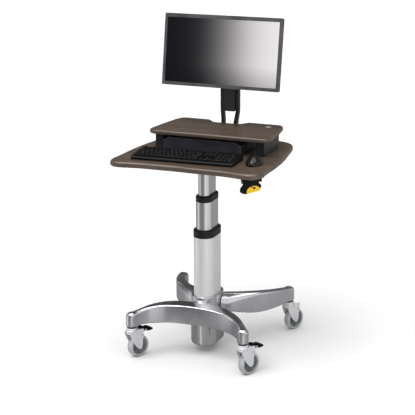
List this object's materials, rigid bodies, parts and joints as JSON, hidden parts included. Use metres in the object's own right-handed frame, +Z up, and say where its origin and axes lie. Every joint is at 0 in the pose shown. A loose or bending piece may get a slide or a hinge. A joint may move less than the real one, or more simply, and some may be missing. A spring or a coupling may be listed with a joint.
{
  "type": "height-adjustable workstation cart",
  "caption": "Height-adjustable hospital workstation cart: laminate worktop and riser shelf with monitor, keyboard and mouse on a telescoping column and a cast base with swivel casters.",
  "frame": {"origin": "on the floor, in the middle of the footprint", "axes": "+Z up, -Y towards the user who stands at the keyboard side, +X to that user's right"},
  "size_m": [0.691, 0.7068, 1.4735],
  "materials": {
    "polished_aluminium": "satin polished casting",
    "satin_aluminium": "fine satin",
    "brushed_steel": "brushed lengthwise",
    "chrome": "polished",
    "zinc_steel": "bright zinc plate",
    "black_plastic": "fine texture",
    "graphite_plastic": "fine texture",
    "key_plastic": "fine texture",
    "bezel_grey": "satin",
    "screen_gloss": "gloss",
    "gloss_black": "gloss",
    "rubber_black": "ribbed",
    "black_paint": "fine texture powder coat",
    "slate_case": "satin paint",
    "laminate": "satin wood-grain laminate with rounded edges",
    "yellow_label": "printed label",
    "wheel_grey": "satin",
    "tyre_grey": "light grey non-marking"
  },
  "bodies": {
    "base": {"base_casting": "polished_aluminium", "column_housing": "brushed_steel", "column_outer_tube": "satin_aluminium", "collar_lower": "black_plastic", "gas_spring_cylinder": "black_paint", "caster_stems": "zinc_steel", "caster_seals": "black_plastic"},
    "column_mid": {"column_mid_tube": "brushed_steel", "collar_upper": "black_plastic", "mid_glide": "black_plastic"},
    "worktop": {"column_inner_tube": "brushed_steel", "inner_glide": "black_plastic", "gas_spring_rod": "chrome", "mounting_plate": "black_paint", "worksurface": "laminate", "wood_screws": "zinc_steel", "riser_bracket_left": "black_paint", "riser_bracket_right": "black_paint", "riser_shelf": "laminate", "computer_case": "slate_case", "shelf_grommet": "zinc_steel", "monitor_post": "black_paint", "lever_bracket": "black_plastic", "lever_pin": "zinc_steel", "keyboard_case": "black_plastic", "mouse_base": "gloss_black"},
    "release_lever": {"lever_paddle": "black_plastic", "lever_label": "yellow_label"},
    "monitor_carriage": {"carriage": "graphite_plastic", "tilt_bracket": "black_paint", "tilt_bolt": "zinc_steel"},
    "monitor": {"vesa_plate": "black_paint", "vesa_screws": "zinc_steel", "monitor_back_cover": "black_plastic", "monitor_bezel": "bezel_grey", "monitor_screen": "screen_gloss"},
    "monitor_button": {"monitor_power_button": "bezel_grey"},
    "keys": {"keycaps": "key_plastic"},
    "mouse_left": {"mouse_left_button": "gloss_black"},
    "mouse_right": {"mouse_right_button": "gloss_black"},
    "mouse_scroll": {"mouse_wheel": "rubber_black"},
    "swivel_front_left": {"caster_fork_front_left": "zinc_steel", "caster_axle_front_left": "zinc_steel"},
    "wheel_front_left": {"caster_wheel_front_left": "wheel_grey", "caster_tyre_front_left": "tyre_grey"},
    "pedal_front_left": {"brake_pedal_front_left": "black_plastic"},
    "swivel_front_right": {"caster_fork_front_right": "zinc_steel", "caster_axle_front_right": "zinc_steel"},
    "wheel_front_right": {"caster_wheel_front_right": "wheel_grey", "caster_tyre_front_right": "tyre_grey"},
    "pedal_front_right": {"brake_pedal_front_right": "black_plastic"},
    "swivel_rear_left": {"caster_fork_rear_left": "zinc_steel", "caster_axle_rear_left": "zinc_steel"},
    "wheel_rear_left": {"caster_wheel_rear_left": "wheel_grey", "caster_tyre_rear_left": "tyre_grey"},
    "swivel_rear_right": {"caster_fork_rear_right": "zinc_steel", "caster_axle_rear_right": "zinc_steel"},
    "wheel_rear_right": {"caster_wheel_rear_right": "wheel_grey", "caster_tyre_rear_right": "tyre_grey"}
  },
  "joints": [
    {"name": "column_mid_lift", "type": "slide", "parent": "base", "child": "column_mid", "axis": [0, 0, 1], "range_m": [-0.1, 0.125]},
    {"name": "worktop_lift", "type": "slide", "parent": "column_mid", "child": "worktop", "axis": [0, 0, 1], "range_m": [-0.1, 0.125]},
    {"name": "release_lever_pull", "type": "hinge", "parent": "worktop", "child": "release_lever", "pos_m": [0.29866, -0.30721, 0.8655], "axis": [0.6428, 0.766, 0], "range_deg": [-14, 0]},
    {"name": "monitor_height", "type": "slide", "parent": "worktop", "child": "monitor_carriage", "axis": [0, 0, 1], "range_m": [-0.005, 0.08]},
    {"name": "monitor_tilt", "type": "hinge", "parent": "monitor_carriage", "child": "monitor", "pos_m": [0, 0.15351, 1.30873], "axis": [1, 0, 0], "range_deg": [-10, 14]},
    {"name": "monitor_button_press", "type": "slide", "parent": "monitor", "child": "monitor_button", "axis": [0, 0.9871, -0.1599], "range_m": [0, 0.0007]},
    {"name": "keys_press", "type": "slide", "parent": "worktop", "child": "keys", "axis": [-0.0041, 0.0784, -0.9969], "range_m": [0, 0.003]},
    {"name": "mouse_left_click", "type": "slide", "parent": "worktop", "child": "mouse_left", "axis": [0, 0, -1], "range_m": [0, 0.0008]},
    {"name": "mouse_right_click", "type": "slide", "parent": "worktop", "child": "mouse_right", "axis": [0, 0, -1], "range_m": [0, 0.0008]},
    {"name": "mouse_wheel_spin", "type": "hinge", "parent": "worktop", "child": "mouse_scroll", "pos_m": [0.2561, -0.14401, 0.9248], "axis": [0.9903, 0.1392, 0], "continuous": true},
    {"name": "caster_swivel_front_left", "type": "hinge", "parent": "base", "child": "swivel_front_left", "pos_m": [-0.263, -0.30474, 0.13], "axis": [0, 0, 1], "continuous": true},
    {"name": "wheel_spin_front_left", "type": "hinge", "parent": "swivel_front_left", "child": "wheel_front_left", "pos_m": [-0.24807, -0.27419, 0.05], "axis": [0.8984, -0.4392, 0], "continuous": true},
    {"name": "brake_press_front_left", "type": "hinge", "parent": "swivel_front_left", "child": "pedal_front_left", "pos_m": [-0.24543, -0.2688, 0.119], "axis": [0.8984, -0.4392, 0], "range_deg": [-12, 0]},
    {"name": "caster_swivel_front_right", "type": "hinge", "parent": "base", "child": "swivel_front_right", "pos_m": [0.263, -0.30474, 0.13], "axis": [0, 0, 1], "continuous": true},
    {"name": "wheel_spin_front_right", "type": "hinge", "parent": "swivel_front_right", "child": "wheel_front_right", "pos_m": [0.27793, -0.27419, 0.05], "axis": [0.8984, -0.4392, 0], "continuous": true},
    {"name": "brake_press_front_right", "type": "hinge", "parent": "swivel_front_right", "child": "pedal_front_right", "pos_m": [0.28057, -0.2688, 0.119], "axis": [0.8984, -0.4392, 0], "range_deg": [-12, 0]},
    {"name": "caster_swivel_rear_left", "type": "hinge", "parent": "base", "child": "swivel_rear_left", "pos_m": [-0.267, 0.27326, 0.13], "axis": [0, 0, 1], "continuous": true},
    {"name": "wheel_spin_rear_left", "type": "hinge", "parent": "swivel_rear_left", "child": "wheel_rear_left", "pos_m": [-0.25207, 0.30381, 0.05], "axis": [0.8984, -0.4392, 0], "continuous": true},
    {"name": "caster_swivel_rear_right", "type": "hinge", "parent": "base", "child": "swivel_rear_right", "pos_m": [0.267, 0.27326, 0.13], "axis": [0, 0, 1], "continuous": true},
    {"name": "wheel_spin_rear_right", "type": "hinge", "parent": "swivel_rear_right", "child": "wheel_rear_right", "pos_m": [0.28193, 0.30381, 0.05], "axis": [0.8984, -0.4392, 0], "continuous": true}
  ],
  "couplings": [
    {"joint": "worktop_lift", "follows": "column_mid_lift", "ratio": 1}
  ]
}
